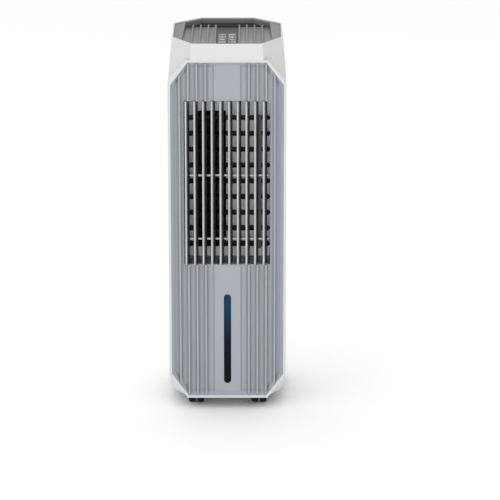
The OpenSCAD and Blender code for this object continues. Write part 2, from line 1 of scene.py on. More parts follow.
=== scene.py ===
# Tower evaporative cooler: looks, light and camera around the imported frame
import math
import bpy
import numpy as np
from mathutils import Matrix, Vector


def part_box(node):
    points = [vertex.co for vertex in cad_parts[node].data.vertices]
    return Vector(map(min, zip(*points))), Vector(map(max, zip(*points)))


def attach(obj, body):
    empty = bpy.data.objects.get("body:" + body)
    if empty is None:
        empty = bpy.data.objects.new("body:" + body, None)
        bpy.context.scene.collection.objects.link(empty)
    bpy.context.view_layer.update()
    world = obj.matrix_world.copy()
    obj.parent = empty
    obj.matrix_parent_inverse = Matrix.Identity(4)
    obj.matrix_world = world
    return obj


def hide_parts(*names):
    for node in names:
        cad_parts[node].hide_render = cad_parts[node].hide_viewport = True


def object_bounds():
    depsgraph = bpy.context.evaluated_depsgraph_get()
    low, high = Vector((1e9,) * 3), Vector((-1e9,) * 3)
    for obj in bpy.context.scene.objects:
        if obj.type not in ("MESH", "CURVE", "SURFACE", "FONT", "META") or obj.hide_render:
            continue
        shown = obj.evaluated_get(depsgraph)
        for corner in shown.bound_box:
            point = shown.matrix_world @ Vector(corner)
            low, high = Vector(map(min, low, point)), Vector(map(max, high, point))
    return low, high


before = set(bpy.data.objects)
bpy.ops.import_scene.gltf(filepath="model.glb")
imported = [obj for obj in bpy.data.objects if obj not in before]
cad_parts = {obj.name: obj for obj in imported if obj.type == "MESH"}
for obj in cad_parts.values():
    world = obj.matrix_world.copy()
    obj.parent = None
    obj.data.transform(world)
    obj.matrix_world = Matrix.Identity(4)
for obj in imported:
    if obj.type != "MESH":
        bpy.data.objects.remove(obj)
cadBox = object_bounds()
low, high = (np.array(corner) for corner in cadBox)
mm = 0.001
print("frame loaded:", len(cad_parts), "nodes")


cameraSet = {
    "distance": 6.457,       # from the front face
    "rise": 1.396,           # above the top of the cabinet
    "side": 0.05,            # to the right of the middle
    "aim": (0.0517, 0.3821),  # the point of the front face in the middle of the view, x and z
    "lens": 212.2,
}


# Long-lens camera: it stands in front and above, and turns straight at the aim point
def addCamera():
    frontY = low[1]
    data = bpy.data.cameras.new("camera")
    data.lens = cameraSet["lens"]
    data.clip_end = 60
    camera = bpy.data.objects.new("camera", data)
    bpy.context.collection.objects.link(camera)
    place = np.array([cameraSet["side"], frontY - cameraSet["distance"], high[2] + cameraSet["rise"]])
    target = np.array([cameraSet["aim"][0], frontY, cameraSet["aim"][1]])
    away = target - place
    camera.location = place
    pitch = math.atan2(away[2], math.hypot(away[0], away[1]))
    camera.rotation_euler = (math.pi / 2 + pitch, 0, math.atan2(-away[0], away[1]))
    bpy.context.scene.camera = camera


lightSet = {
    "worldLeft": 1.08,
    "worldRight": 0.87,
    "key": {"at": (-2.8, -3.2, 3.0), "size": 1.8, "power": 14},
    "top": {"at": (-0.4, 0.4, 4.2), "size": 2.4, "power": 14},
    "front": {"at": (0.2, -8.0, 1.5), "size": 1.6, "power": 90},
    "faced": (0, 0, 0.45),   # the point that every lamp faces
    "floorGrey": 0.985,
    "floorReach": 14,
}


# Square lamp that faces the middle of the cabinet
def addArea(name, spec):
    data = bpy.data.lights.new(name, "AREA")
    data.size = spec["size"]
    data.energy = spec["power"]
    lamp = bpy.data.objects.new(name, data)
    bpy.context.collection.objects.link(lamp)
    lamp.location = spec["at"]
    toward = np.array(lightSet["faced"]) - np.array(spec["at"])
    lamp.rotation_euler = (math.atan2(math.hypot(toward[0], toward[1]), -toward[2]), 0,
                           math.atan2(toward[1], toward[0]) - math.pi / 2)


# White surroundings that fade from left to right, three soft lamps and a pale floor
def addStudio():
    world = bpy.data.worlds.new("studio")
    bpy.context.scene.world = world
    world.use_nodes = True
    sky = world.node_tree.nodes["Background"]
    sky.inputs["Color"].default_value = (1, 1, 1, 1)
    nodes, links = world.node_tree.nodes, world.node_tree.links
    heading = nodes.new("ShaderNodeTexCoord")
    split = nodes.new("ShaderNodeSeparateXYZ")
    fade = nodes.new("ShaderNodeMapRange")
    fade.inputs["From Min"].default_value = -1
    fade.inputs["To Min"].default_value = lightSet["worldLeft"]
    fade.inputs["To Max"].default_value = lightSet["worldRight"]
    links.new(heading.outputs["Generated"], split.inputs[0])
    links.new(split.outputs["X"], fade.inputs["Value"])
    links.new(fade.outputs["Result"], sky.inputs["Strength"])
    for name in ("key", "top", "front"):
        addArea(name, lightSet[name])
    reach = lightSet["floorReach"]
    mesh = bpy.data.meshes.new("floor")
    mesh.from_pydata([(-reach, -reach, 0), (reach, -reach, 0), (reach, reach, 0), (-reach, reach, 0)],
                     [], [(0, 1, 2, 3)])
    floor = bpy.data.objects.new("floor", mesh)
    bpy.context.collection.objects.link(floor)
    paper = bpy.data.materials.new("floorPaper")
    paper.use_nodes = True
    skin = paper.node_tree.nodes["Principled BSDF"]
    skin.inputs["Base Color"].default_value = (lightSet["floorGrey"],) * 3 + (1,)
    skin.inputs["Roughness"].default_value = 0.8
    mesh.materials.append(paper)
    bpy.context.scene.view_settings.view_transform = "Standard"


addCamera()
addStudio()
print("camera and studio placed")


# Adds a shader node, each setting going to its property or else to its socket
def addNode(tree, kind, **settings):
    node = tree.nodes.new(kind)
    for key, value in settings.items():
        if hasattr(node, key):
            setattr(node, key, value)
        else:
            node.inputs[key.replace("_", " ")].default_value = value
    return node


# Links one output to one socket
def wire(tree, source, output, target, socket):
    tree.links.new(source.outputs[output], target.inputs[socket])


# Empty node group with its sockets
def newGroup(name, inputs, outputs):
    tree = bpy.data.node_groups.new(name, "ShaderNodeTree")
    kinds = {"color": "NodeSocketColor", "float": "NodeSocketFloat", "vector": "NodeSocketVector"}
    for label, kind, value in inputs:
        socket = tree.interface.new_socket(label, in_out="INPUT", socket_type=kinds[kind])
        socket.default_value = value
    for label, kind in outputs:
        tree.interface.new_socket(label, in_out="OUTPUT", socket_type=kinds[kind])
    return tree, tree.nodes.new("NodeGroupInput"), tree.nodes.new("NodeGroupOutput")


# Moulded grain: fine noise makes the height, a broad noise shifts tone and roughness a little
def makeMouldGrain():
    tree, given, out = newGroup(
        "mouldGrain",
        [("Color", "color", (0.5, 0.5, 0.5, 1)), ("Roughness", "float", 0.4),
         ("Grain Scale", "float", 900.0), ("Mottle", "float", 0.04)],
        [("Color", "color"), ("Roughness", "float"), ("Height", "float")])
    where = addNode(tree, "ShaderNodeTexCoord")
    fine = addNode(tree, "ShaderNodeTexNoise", Detail=2.0)
    wire(tree, where, "Object", fine, "Vector")
    wire(tree, given, "Grain Scale", fine, "Scale")
    broad = addNode(tree, "ShaderNodeTexNoise", Scale=9.0, Detail=3.0)
    wire(tree, where, "Object", broad, "Vector")
    centred = addNode(tree, "ShaderNodeMath", operation="SUBTRACT")
    centred.inputs[1].default_value = 0.5
    wire(tree, broad, "Fac", centred, 0)
    swing = addNode(tree, "ShaderNodeMath", operation="MULTIPLY")
    wire(tree, centred, "Value", swing, 0)
    wire(tree, given, "Mottle", swing, 1)
    gain = addNode(tree, "ShaderNodeMath", operation="MULTIPLY_ADD")
    gain.inputs[1].default_value = 2.0
    gain.inputs[2].default_value = 1.0
    wire(tree, swing, "Value", gain, 0)
    tone = addNode(tree, "ShaderNodeVectorMath", operation="SCALE")
    wire(tree, given, "Color", tone, 0)
    wire(tree, gain, "Value", tone, "Scale")
    wire(tree, tone, "Vector", out, "Color")
    rough = addNode(tree, "ShaderNodeMath", operation="MULTIPLY_ADD")
    rough.inputs[1].default_value = 2.5
    wire(tree, swing, "Value", rough, 0)
    wire(tree, given, "Roughness", rough, 2)
    wire(tree, rough, "Value", out, "Roughness")
    wire(tree, fine, "Fac", out, "Height")
    return tree


# Edge wear: where a softened normal leaves the true one, broken up by noise, the worn colour shows
def makeEdgeWear():
    tree, given, out = newGroup(
        "edgeWear",
        [("Color", "color", (0.5, 0.5, 0.5, 1)), ("Worn", "color", (0.8, 0.8, 0.8, 1)),
         ("Amount", "float", 0.4)],
        [("Color", "color"), ("Mask", "float")])
    shape = addNode(tree, "ShaderNodeNewGeometry")
    soft = addNode(tree, "ShaderNodeBevel", samples=3, Radius=1.1 * mm)
    dot = addNode(tree, "ShaderNodeVectorMath", operation="DOT_PRODUCT")
    wire(tree, soft, "Normal", dot, 0)
    wire(tree, shape, "True Normal", dot, 1)
    turned = addNode(tree, "ShaderNodeMapRange")
    for key, value in (("From Min", 0.995), ("From Max", 0.80), ("To Min", 0.0), ("To Max", 1.0)):
        turned.inputs[key].default_value = value
    wire(tree, dot, "Value", turned, "Value")
    where = addNode(tree, "ShaderNodeTexCoord")
    patch = addNode(tree, "ShaderNodeTexNoise", Scale=60.0, Detail=4.0)
    wire(tree, where, "Object", patch, "Vector")
    broken = addNode(tree, "ShaderNodeMath", operation="MULTIPLY")
    wire(tree, turned, "Result", broken, 0)
    wire(tree, patch, "Fac", broken, 1)
    mask = addNode(tree, "ShaderNodeMath", operation="MULTIPLY", use_clamp=True)
    wire(tree, broken, "Value", mask, 0)
    wire(tree, given, "Amount", mask, 1)
    blend = addNode(tree, "ShaderNodeMix", data_type="RGBA")
    wire(tree, mask, "Value", blend, 0)
    wire(tree, given, "Color", blend, 6)
    wire(tree, given, "Worn", blend, 7)
    wire(tree, blend, 2, out, "Color")
    wire(tree, mask, "Value", out, "Mask")
    return tree


# Dust, and on the duct painted shade: settles where the surface faces up, thinned by noise
def makeDustAndShade():
    tree, given, out = newGroup(
        "settledDustAndShade",
        [("Color", "color", (0.5, 0.5, 0.5, 1)), ("Dust", "color", (0.62, 0.60, 0.57, 1)),
         ("Amount", "float", 0.1)],
        [("Color", "color"), ("Mask", "float")])
    shape = addNode(tree, "ShaderNodeNewGeometry")
    split = addNode(tree, "ShaderNodeSeparateXYZ")
    wire(tree, shape, "Normal", split, 0)
    facing = addNode(tree, "ShaderNodeMapRange")
    facing.inputs["From Min"].default_value = 0.55
    facing.inputs["From Max"].default_value = 1.0
    wire(tree, split, "Z", facing, "Value")
    where = addNode(tree, "ShaderNodeTexCoord")
    speck = addNode(tree, "ShaderNodeTexNoise", Scale=140.0, Detail=5.0)
    wire(tree, where, "Object", speck, "Vector")
    thin = addNode(tree, "ShaderNodeMath", operation="MULTIPLY")
    wire(tree, facing, "Result", thin, 0)
    wire(tree, speck, "Fac", thin, 1)
    mask = addNode(tree, "ShaderNodeMath", operation="MULTIPLY", use_clamp=True)
    wire(tree, thin, "Value", mask, 0)
    wire(tree, given, "Amount", mask, 1)
    blend = addNode(tree, "ShaderNodeMix", data_type="RGBA")
    wire(tree, given, "Dust", blend, 7)
    wire(tree, mask, "Value", blend, 0)
    wire(tree, given, "Color", blend, 6)
    wire(tree, blend, 2, out, "Color")
    wire(tree, mask, "Value", out, "Mask")
    return tree


# Painted crevice shade: the share of open space within a small reach, raised towards one by the amount,
# scales the colour, and a painted shade fade along an axis, from one distance to another, scales it again
def makeCreviceShade():
    tree, given, out = newGroup(
        "creviceShade",
        [("Color", "color", (0.5, 0.5, 0.5, 1)), ("Reach", "float", 0.006), ("Amount", "float", 0.5),
         ("Axis", "vector", (0, 1, 0)), ("Front", "float", -1.0), ("Back", "float", 1.0),
         ("Deep", "float", 1.0)],
        [("Color", "color"), ("Mask", "float")])
    near = addNode(tree, "ShaderNodeAmbientOcclusion", samples=6)
    wire(tree, given, "Reach", near, "Distance")
    shade = addNode(tree, "ShaderNodeMapRange")
    wire(tree, near, "AO", shade, "Value")
    base = addNode(tree, "ShaderNodeMath", operation="SUBTRACT")
    base.inputs[0].default_value = 1.0
    wire(tree, given, "Amount", base, 1)
    wire(tree, base, "Value", shade, "To Min")
    where = addNode(tree, "ShaderNodeTexCoord")
    along = addNode(tree, "ShaderNodeVectorMath", operation="DOT_PRODUCT")
    wire(tree, where, "Object", along, 0)
    wire(tree, given, "Axis", along, 1)
    fade = addNode(tree, "ShaderNodeMapRange")
    wire(tree, along, "Value", fade, "Value")
    wire(tree, given, "Front", fade, "From Min")
    wire(tree, given, "Back", fade, "From Max")
    fade.inputs["To Min"].default_value = 1.0
    wire(tree, given, "Deep", fade, "To Max")
    both = addNode(tree, "ShaderNodeMath", operation="MULTIPLY")
    wire(tree, shade, "Result", both, 0)
    wire(tree, fade, "Result", both, 1)
    tone = addNode(tree, "ShaderNodeVectorMath", operation="SCALE")
    wire(tree, given, "Color", tone, 0)
    wire(tree, both, "Value", tone, "Scale")
    wire(tree, tone, "Vector", out, "Color")
    wire(tree, both, "Value", out, "Mask")
    return tree


mouldGrain = makeMouldGrain()
edgeWear = makeEdgeWear()
settledDustAndShade = makeDustAndShade()
creviceShade = makeCreviceShade()


# Puts a shared group into a material and sets its sockets
def placeGroup(tree, group, **values):
    node = tree.nodes.new("ShaderNodeGroup")
    node.node_tree = group
    for key, value in values.items():
        node.inputs[key.replace("_", " ")].default_value = value
    return node


# Empty material, with its tree and its shader
def newMaterial(name):
    mat = bpy.data.materials.new(name)
    mat.use_nodes = True
    return mat, mat.node_tree, mat.node_tree.nodes["Principled BSDF"]


# One row per moulding: colour, roughness, grain scale, grain depth in mm, mottle, worn edge, wear, dust,
# coat, and where they differ: painted crease shade and its reach in mm, shine, the duct's near-black dust
# colour (painted shade), and a painted shade fade along shadeFadeAxis (+Y if not given) from one distance
# to another, down to a share of the colour
plasticSet = {
    "shellWhite": {"color": (0.59, 0.594, 0.59), "rough": 0.34, "scale": 700, "depth": 0.012, "mottle": 0.02,
                   "worn": (0.84, 0.84, 0.84), "wear": 0.5, "dust": 0.06, "coat": 0.12},
    "panelGrey": {"color": (0.325, 0.349, 0.38), "rough": 0.42, "scale": 900, "depth": 0.02, "mottle": 0.035,
                  "worn": (0.46, 0.49, 0.52), "wear": 0.7, "dust": 0.04, "coat": 0.05,
                  "crease": 0.75, "reach": 9},
    "trayGrey": {"color": (0.180, 0.180, 0.196), "rough": 0.48, "scale": 800, "depth": 0.025, "mottle": 0.04,
                 "worn": (0.30, 0.30, 0.32), "wear": 0.7, "dust": 0.03, "coat": 0.0,
                 # painted shade: this fade darkens the finger slot below the back of the ramp to 0.3 of the
                 # colour
                 "crease": 0.55, "reach": 9, "shadeFadeAxis": (0, 0.2, -1),
                 "shadeFade": (-0.8239, -0.8217, 0.3)},
    "deckDark": {"color": (0.048, 0.048, 0.052), "rough": 0.45, "scale": 1100, "depth": 0.008,
                 "mottle": 0.03, "worn": (0.14, 0.14, 0.15), "wear": 0.3, "dust": 0.03,
                 "coat": 0.0, "shine": 0.12},
    "keyDark": {"color": (0.075, 0.075, 0.080), "rough": 0.44, "scale": 1300, "depth": 0.02, "mottle": 0.04,
                "worn": (0.17, 0.17, 0.18), "wear": 0.5, "dust": 0.03, "coat": 0.0},
    "vaneLight": {"color": (0.50, 0.51, 0.53), "rough": 0.36, "scale": 900, "depth": 0.015, "mottle": 0.03,
                  "worn": (0.62, 0.62, 0.63), "wear": 0.4, "dust": 0.03, "coat": 0.05,
                  # painted shade: this fade darkens each vane from its front edge back towards the pivot,
                  # down to 0.07
                  "crease": 0.55, "reach": 12, "shadeFade": (-0.147, -0.134, 0.07)},
    # painted shade: dust at 1.6 with a near-black colour darkens the duct's up-facing faces, its floor
    "ductLight": {"color": (0.93, 0.945, 0.96), "rough": 0.50, "scale": 700, "depth": 0.02, "mottle": 0.05,
                  "worn": (0.86, 0.86, 0.86), "wear": 0.2, "dust": 1.6, "coat": 0.0,
                  "ductShadeColor": (0.035, 0.037, 0.045), "crease": 0.0},
    "louverBlack": {"color": (0.006, 0.006, 0.008), "rough": 0.52, "scale": 900, "depth": 0.02,
                    "mottle": 0.08, "worn": (0.020, 0.020, 0.022), "wear": 0.4, "dust": 0.0,
                    "coat": 0.0, "shine": 0.12},
    "linkGrey": {"color": (0.085, 0.085, 0.09), "rough": 0.45, "scale": 900, "depth": 0.02, "mottle": 0.06,
                 "worn": (0.15, 0.15, 0.15), "wear": 0.4, "dust": 0.08, "coat": 0.0},
    "casterBlack": {"color": (0.008, 0.008, 0.009), "rough": 0.38, "scale": 900, "depth": 0.02,
                    "mottle": 0.08, "worn": (0.03, 0.03, 0.03), "wear": 0.5, "dust": 0.03,
                    "coat": 0.0, "shine": 0.2},
    "wheelBlack": {"color": (0.007, 0.007, 0.008), "rough": 0.62, "scale": 1500, "depth": 0.04,
                   "mottle": 0.12, "worn": (0.03, 0.03, 0.03), "wear": 0.5, "dust": 0.05,
                   "coat": 0.0, "shine": 0.15},
    "innerGrey": {"color": (0.34, 0.35, 0.37), "rough": 0.52, "scale": 500, "depth": 0.03, "mottle": 0.06,
                  "worn": (0.45, 0.45, 0.46), "wear": 0.3, "dust": 0.2, "coat": 0.0},
    "tankBlue": {"color": (0.50, 0.60, 0.67), "rough": 0.22, "scale": 300, "depth": 0.02, "mottle": 0.05,
                 "worn": (0.66, 0.72, 0.76), "wear": 0.4, "dust": 0.10, "coat": 0.3},
    "plugRubber": {"color": (0.03, 0.03, 0.032), "rough": 0.7, "scale": 1200, "depth": 0.05, "mottle": 0.1,
                   "worn": (0.08, 0.08, 0.08), "wear": 0.5, "dust": 0.2, "coat": 0.0},
    "floatRed": {"color": (0.55, 0.05, 0.03), "rough": 0.4, "scale": 800, "depth": 0.02, "mottle": 0.06,
                 "worn": (0.7, 0.3, 0.25), "wear": 0.4, "dust": 0.05, "coat": 0.1},
    "circuitGreen": {"color": (0.02, 0.13, 0.05), "rough": 0.3, "scale": 400, "depth": 0.03, "mottle": 0.2,
                     "worn": (0.3, 0.25, 0.1), "wear": 0.3, "dust": 0.1, "coat": 0.4},
}


# Moulded plastic: grain, then worn edges, then dust (on the duct, painted shade), then painted shade in the
# creases and along the shade fade, with the grain height as a bump
def plastic(name):
    spec = plasticSet[name]
    mat, tree, skin = newMaterial(name)
    grain = placeGroup(tree, mouldGrain, Color=spec["color"] + (1,), Roughness=spec["rough"],
                       Grain_Scale=spec["scale"], Mottle=spec["mottle"])
    wear = placeGroup(tree, edgeWear, Worn=spec["worn"] + (1,), Amount=spec["wear"])
    dust = placeGroup(tree, settledDustAndShade, Amount=spec["dust"])
    # for the duct this colour is painted shade rather than dust
    dust.inputs["Dust"].default_value = spec.get("ductShadeColor", (0.62, 0.60, 0.57)) + (1,)
    crease = placeGroup(tree, creviceShade, Reach=spec.get("reach", 6) * mm, Amount=spec.get("crease", 0.3))
    # painted shade: the fade scales the colour down deeper in
    if "shadeFade" in spec:
        crease.inputs["Axis"].default_value = spec.get("shadeFadeAxis", (0, 1, 0))
        for socket, value in zip(("Front", "Back", "Deep"), spec["shadeFade"]):
            crease.inputs[socket].default_value = value
    wire(tree, grain, "Color", wear, "Color")
    wire(tree, wear, "Color", dust, "Color")
    wire(tree, dust, "Color", crease, "Color")
    wire(tree, crease, "Color", skin, "Base Color")
    skin.inputs["Specular IOR Level"].default_value = spec.get("shine", 0.4)
    wire(tree, grain, "Roughness", skin, "Roughness")
    bump = addNode(tree, "ShaderNodeBump", Strength=0.6, Distance=spec["depth"] * mm * 4)
    wire(tree, grain, "Height", bump, "Height")
    wire(tree, bump, "Normal", skin, "Normal")
    skin.inputs["Coat Weight"].default_value = spec["coat"]
    skin.inputs["Coat Roughness"].default_value = 0.25
    return mat


steelSet = {"color": (0.56, 0.57, 0.58), "rough": 0.32, "streak": (40.0, 40.0, 1400.0)}


# Plated steel: noise stretched along one axis makes fine turning marks
def plainSteel():
    mat, tree, skin = newMaterial("zincSteel")
    skin.inputs["Metallic"].default_value = 1.0
    where = addNode(tree, "ShaderNodeTexCoord")
    stretch = addNode(tree, "ShaderNodeMapping")
    stretch.inputs["Scale"].default_value = steelSet["streak"]
    wire(tree, where, "Object", stretch, "Vector")
    lines = addNode(tree, "ShaderNodeTexNoise", Scale=1.0, Detail=4.0)
    wire(tree, stretch, "Vector", lines, "Vector")
    tone = addNode(tree, "ShaderNodeMapRange")
    tone.inputs["To Min"].default_value = steelSet["rough"] - 0.1
    tone.inputs["To Max"].default_value = steelSet["rough"] + 0.15
    wire(tree, lines, "Fac", tone, "Value")
    wire(tree, tone, "Result", skin, "Roughness")
    shade = addNode(tree, "ShaderNodeMix", data_type="RGBA")
    shade.inputs[6].default_value = tuple(c * 0.8 for c in steelSet["color"]) + (1,)
    shade.inputs[7].default_value = steelSet["color"] + (1,)
    wire(tree, lines, "Fac", shade, 0)
    wire(tree, shade, 2, skin, "Base Color")
    return mat


bevelSet = {"width": 0.7 * mm, "keyWidth": 0.5 * mm, "louverWidth": 0.4 * mm, "segments": 2, "angle": 32}


# Joins a node's loose triangles and rounds its sharp edges
def softenEdges(node, width):
    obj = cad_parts[node]
    weld = obj.modifiers.new("weld", "WELD")
    weld.merge_threshold = 0.01 * mm
    bevel = obj.modifiers.new("bevel", "BEVEL")
    bevel.width = width
    bevel.segments = bevelSet["segments"]
    bevel.limit_method = "ANGLE"
    bevel.angle_limit = math.radians(bevelSet["angle"])
    bevel.harden_normals = True


# Gives nodes of the frame a material
def dress(material, *nodes):
    for node in nodes:
        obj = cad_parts[node]
        for slot in obj.material_slots:
            slot.material = material


# Lowest and highest corner of a node
def cornersOf(node):
    return [np.array(corner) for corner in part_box(node)]


# Names with a running number
def numbered(stem, count):
    return [f"{stem}_{i + 1}" for i in range(count)]


# Quads of a grid of rows by columns, joined round in the directions that close
def gridQuads(rows, columns, roundRows, roundColumns):
    row = np.arange(rows if roundRows else rows - 1)
    column = np.arange(columns if roundColumns else columns - 1)
    row, column = (part.ravel() for part in np.meshgrid(row, column, indexing="ij"))
    nextRow, nextColumn = (row + 1) % rows, (column + 1) % columns
    return np.stack([row * columns + column, row * columns + nextColumn,
                     nextRow * columns + nextColumn, nextRow * columns + column], axis=1)


# Closed form from a grid: equal points join, and the quads turn outwards when the volume
# (a sixth of the sum of each corner dotted with the cross of the next two) is negative
def closedForm(grid, roundRows=False, roundColumns=False):
    rows, columns = grid.shape[:2]
    points, index = np.unique(np.round(grid.reshape(-1, 3), 7), axis=0, return_inverse=True)
    quads = index.reshape(-1)[gridQuads(rows, columns, roundRows, roundColumns)]
    a, b, c, d = (points[quads[:, i]] for i in range(4))
    volume = (np.cross(a, b) * c).sum() + (np.cross(a, c) * d).sum()
    return points, quads if volume > 0 else quads[:, ::-1]


# One mesh from closed forms: a quad with a shared corner becomes a triangle
def meshOf(name, forms, crease):
    points = np.concatenate([form[0] for form in forms])
    starts = np.cumsum([0] + [len(form[0]) for form in forms[:-1]])
    quads = np.concatenate([form[1] + start for form, start in zip(forms, starts)])
    same = quads == np.roll(quads, -1, axis=1)
    folded = same.sum(axis=1) == 1
    triangles = quads[folded][~same[folded]].reshape(-1, 3)
    mesh = bpy.data.meshes.new(name)
    mesh.from_pydata(points.tolist(), [], quads[~same.any(axis=1)].tolist() + triangles.tolist())
    mesh.shade_smooth()
    mesh.set_sharp_from_angle(angle=math.radians(crease))
    return mesh


# New piece: it rides on a body, takes a slot's finish and stands for the nodes it replaces
def addPiece(name, forms, material, body, stands=(), crease=38):
    piece = bpy.data.objects.new(name, meshOf(name, forms, crease))
    bpy.context.collection.objects.link(piece)
    piece.data.materials.append(material)
    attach(piece, body)
    if stands:
        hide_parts(*stands)
    return piece


# Ends of a row of rings: each shrinks to the middle of its ring
def capped(grid):
    ends = [np.broadcast_to(grid[i].mean(axis=0), grid[i].shape)[None] for i in (0, -1)]
    return np.concatenate([ends[0], grid, ends[1]])


# Section swept along a path: point = path + across * first + up * second
def swept(path, across, up, section, closed=False):
    grid = (path[:, None] + across[:, None] * section[None, :, :1] + up[:, None] * section[None, :, 1:])
    return closedForm(grid if closed else capped(grid), closed, True)


# Spun profile: radius and height of the profile, turned round a vertical axis at centre; a ring's
# profile is closed
def spun(radius, height, centre, count, ring=False):
    turn = np.linspace(0, 2 * np.pi, count, endpoint=False)
    grid = np.stack([centre[0] + radius[:, None] * np.cos(turn), centre[1] + radius[:, None] * np.sin(turn),
                     np.broadcast_to(height[:, None], (len(radius), count))], axis=-1)
    return closedForm(grid, ring, True)


# Section with rounded corners: a corner arc of the given radius at each corner of a rectangle
def roundedSection(halfWidth, halfHeight, radius, steps=4):
    arc = np.linspace(0, np.pi / 2, steps)
    turn = np.concatenate([arc + k * np.pi / 2 for k in range(4)])
    sideX = np.repeat([1, -1, -1, 1], steps) * (halfWidth - radius)
    sideY = np.repeat([1, 1, -1, -1], steps) * (halfHeight - radius)
    return np.stack([sideX + radius * np.cos(turn), sideY + radius * np.sin(turn)], axis=1)


# Woven or fibrous cloth: the height is the product of two crossed sine bands, and the tone follows it
def makeWeave():
    tree, given, out = newGroup(
        "weave",
        [("Color", "color", (0.5, 0.5, 0.5, 1)), ("Thread", "float", 300.0), ("Contrast", "float", 0.3)],
        [("Color", "color"), ("Height", "float")])
    where = addNode(tree, "ShaderNodeTexCoord")
    scaled = addNode(tree, "ShaderNodeVectorMath", operation="SCALE")
    wire(tree, where, "Object", scaled, 0)
    wire(tree, given, "Thread", scaled, "Scale")
    split = addNode(tree, "ShaderNodeSeparateXYZ")
    wire(tree, scaled, "Vector", split, 0)
    bands = []
    for axis in ("X", "Z"):
        band = addNode(tree, "ShaderNodeMath", operation="SINE")
        wire(tree, split, axis, band, 0)
        bands.append(band)
    cross = addNode(tree, "ShaderNodeMath", operation="MULTIPLY")
    wire(tree, bands[0], "Value", cross, 0)
    wire(tree, bands[1], "Value", cross, 1)
    gain = addNode(tree, "ShaderNodeMath", operation="MULTIPLY_ADD")
    gain.inputs[2].default_value = 1.0
    wire(tree, cross, "Value", gain, 0)
    wire(tree, given, "Contrast", gain, 1)
    tone = addNode(tree, "ShaderNodeVectorMath", operation="SCALE")
    wire(tree, given, "Color", tone, 0)
    wire(tree, gain, "Value", tone, "Scale")
    wire(tree, tone, "Vector", out, "Color")
    wire(tree, cross, "Value", out, "Height")
    return tree


# Painted light that runs up an object: height between two levels picks a colour from dark to lit, and a
# scaled copy gives a painted glow
def makePaintedWindowLight():
    tree, given, out = newGroup(
        "paintedWindowLight",
        [("Low", "float", 0.0), ("High", "float", 1.0)],
        [("Color", "color"), ("Glow", "color")])
    where = addNode(tree, "ShaderNodeTexCoord")
    split = addNode(tree, "ShaderNodeSeparateXYZ")
    wire(tree, where, "Object", split, 0)
    share = addNode(tree, "ShaderNodeMapRange")
    wire(tree, split, "Z", share, "Value")
    wire(tree, given, "Low", share, "From Min")
    wire(tree, given, "High", share, "From Max")
    ramp = addNode(tree, "ShaderNodeValToRGB")
    stops = ramp.color_ramp.elements
    for place, colour in windowSet["stops"][1:-1]:
        stops.new(place).color = colour + (1,)
    for k in (0, -1):
        stops[k].position = windowSet["stops"][k][0]
        stops[k].color = windowSet["stops"][k][1] + (1,)
    wire(tree, share, "Result", ramp, "Fac")
    wire(tree, ramp, "Color", out, "Color")
    glow = addNode(tree, "ShaderNodeVectorMath", operation="SCALE", Scale=windowSet["glow"])
    wire(tree, ramp, "Color", glow, 0)
    wire(tree, glow, "Vector", out, "Glow")
    return tree


windowSet = {
    # painted light: colour stops from dark at the bottom to lit teal near the top
    "stops": [(0.0, (0.0006, 0.0008, 0.0030)), (0.25, (0.0005, 0.0008, 0.0045)),
              (0.48, (0.0007, 0.0040, 0.0150)), (0.70, (0.0010, 0.0190, 0.0370)),
              (0.86, (0.0014, 0.0280, 0.0640)), (1.0, (0.0040, 0.0270, 0.0400))],
    # painted glow: the window is no lamp
    "glow": 0.35,
    "rough": 0.16,
    "crown": 0.9 * mm,
    "arc": 24,
    "straight": 16,
}
weave = makeWeave()
paintedWindowLight = makePaintedWindowLight()


# Window with painted light: the height ramp colours it dark at the bottom and lit at the top and gives it a
# faint painted glow, under a weak clear reflection
def paintedLightWindow(low, high):
    mat, tree, skin = newMaterial("windowBlue")
    windowLight = placeGroup(tree, paintedWindowLight, Low=low, High=high)
    wire(tree, windowLight, "Color", skin, "Base Color")
    wire(tree, windowLight, "Glow", skin, "Emission Color")
    skin.inputs["Emission Strength"].default_value = 1.0
    skin.inputs["Specular IOR Level"].default_value = 0.12
    grain = placeGroup(tree, mouldGrain, Roughness=windowSet["rough"], Grain_Scale=500, Mottle=0.05)
    wire(tree, grain, "Roughness", skin, "Roughness")
    return mat


clothSet = {
    "padPaper": {"color": (0.42, 0.29, 0.16), "thread": 900, "contrast": 0.16, "rough": 0.85, "depth": 0.15},
    "filterMesh": {"color": (0.05, 0.05, 0.055), "thread": 3800, "contrast": 0.45, "rough": 0.75,
                   "depth": 0.2},
}


# Paper or mesh: the weave group gives tone and height, and dust lies on top
def cloth(name):
    spec = clothSet[name]
    mat, tree, skin = newMaterial(name)
    grain = placeGroup(tree, mouldGrain, Color=spec["color"] + (1,), Roughness=spec["rough"],
                       Grain_Scale=600, Mottle=0.12)
    threads = placeGroup(tree, weave, Thread=spec["thread"], Contrast=spec["contrast"])
    dust = placeGroup(tree, settledDustAndShade, Amount=0.15)
    wire(tree, grain, "Color", threads, "Color")
    wire(tree, threads, "Color", dust, "Color")
    wire(tree, dust, "Color", skin, "Base Color")
    wire(tree, grain, "Roughness", skin, "Roughness")
    bump = addNode(tree, "ShaderNodeBump", Strength=0.7, Distance=spec["depth"] * mm)
    wire(tree, threads, "Height", bump, "Height")
    wire(tree, bump, "Normal", skin, "Normal")
    return mat


keys = numbered("key", 8)
vanes = numbered("vane", 10)
louvers = numbered("louver", 9)
forks = numbered("caster_fork", 4)
wheels = numbered("caster_wheels", 4)

